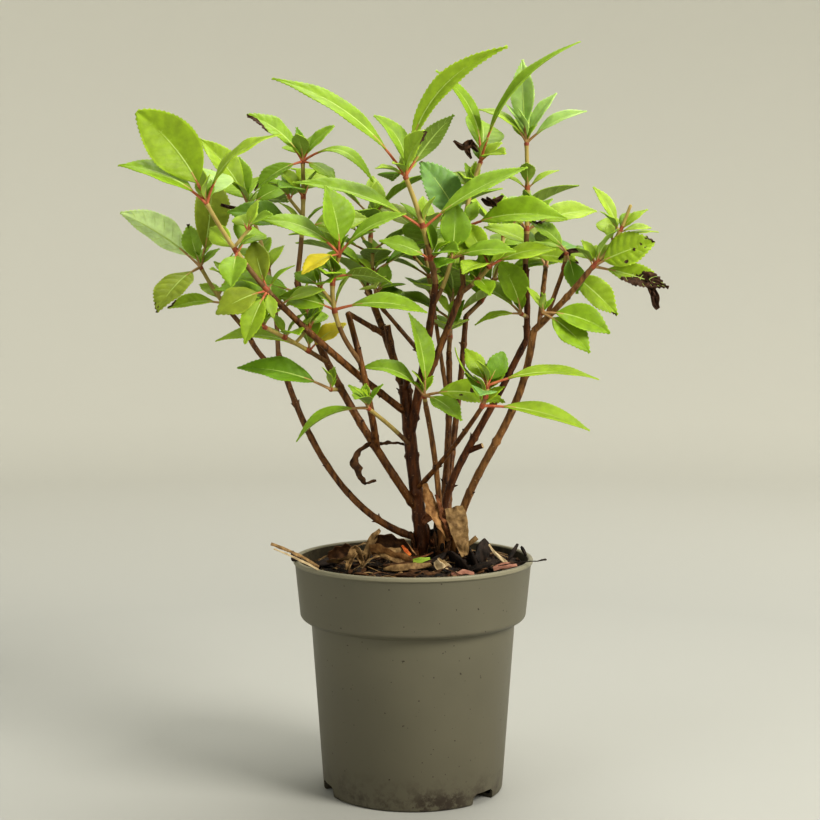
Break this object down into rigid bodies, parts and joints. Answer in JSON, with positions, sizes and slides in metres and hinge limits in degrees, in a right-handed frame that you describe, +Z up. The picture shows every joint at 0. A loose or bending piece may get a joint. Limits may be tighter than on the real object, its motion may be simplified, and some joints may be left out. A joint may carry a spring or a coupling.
{
  "type": "potted panicle hydrangea shrub",
  "caption": "Young panicle hydrangea shrub in its round 11 cm nursery pot: brown woody stems fan out from the soil and carry green shoots with pointed leaves, not yet in flower",
  "frame": {"origin": "centre of the pot's flat underside, on the surface the pot stands on", "axes": "+Z is up along the pot's axis, -Y faces the viewer, +X is the viewer's right"},
  "size_m": [0.2496, 0.161, 0.34],
  "materials": {
    "pot_plastic": "matt grey-green moulded plastic with specks of soil",
    "potting_soil": "dark moist potting mix with bark chips and dry leaf litter",
    "bark": "smooth dark red-brown bark with pale specks and swollen nodes",
    "leaf": "soft fresh-green leaves with a toothed edge, pink stalks and green shoot stems"
  },
  "bodies": {
    "root": {"pot": "pot_plastic", "potting_soil": "potting_soil", "main_stem": "bark", "far_left_stem": "bark", "far_left_branch": "bark", "left_stem": "bark", "middle_left_stem": "bark", "front_left_stem": "bark", "back_left_stem": "bark", "back_left_stub": "bark", "centre_stem": "bark", "cross_twig": "bark", "centre_right_stem": "bark", "thin_centre_stem": "bark", "front_low_branch": "bark", "front_right_stem": "bark", "far_right_branch": "bark", "right_back_branch": "bark", "right_middle_branch": "bark", "back_right_stem": "bark", "right_upright": "bark", "back_stem": "bark", "back_outer_stem": "bark", "thin_back_stem": "bark", "leaves_far_left": "leaf", "leaves_left_back": "leaf", "leaves_upper_left": "leaf", "leaves_front_left": "leaf", "leaves_low_left": "leaf", "leaf_lowest_left": "leaf", "leaves_middle_left": "leaf", "leaves_back_left": "leaf", "leaves_inner_left": "leaf", "leaves_low_centre": "leaf", "leaves_low_middle": "leaf", "leaves_centre_top": "leaf", "leaves_centre_low": "leaf", "leaves_top_back": "leaf", "leaves_right_inner": "leaf", "leaves_right_fork": "leaf", "leaves_right_top": "leaf", "leaves_right_back": "leaf", "leaves_right_middle": "leaf", "leaves_right_low": "leaf", "leaves_far_right": "leaf", "leaves_low_right": "leaf", "leaves_back_low": "leaf", "leaves_back_right": "leaf", "leaves_back_middle": "leaf"}
  },
  "joints": []
}
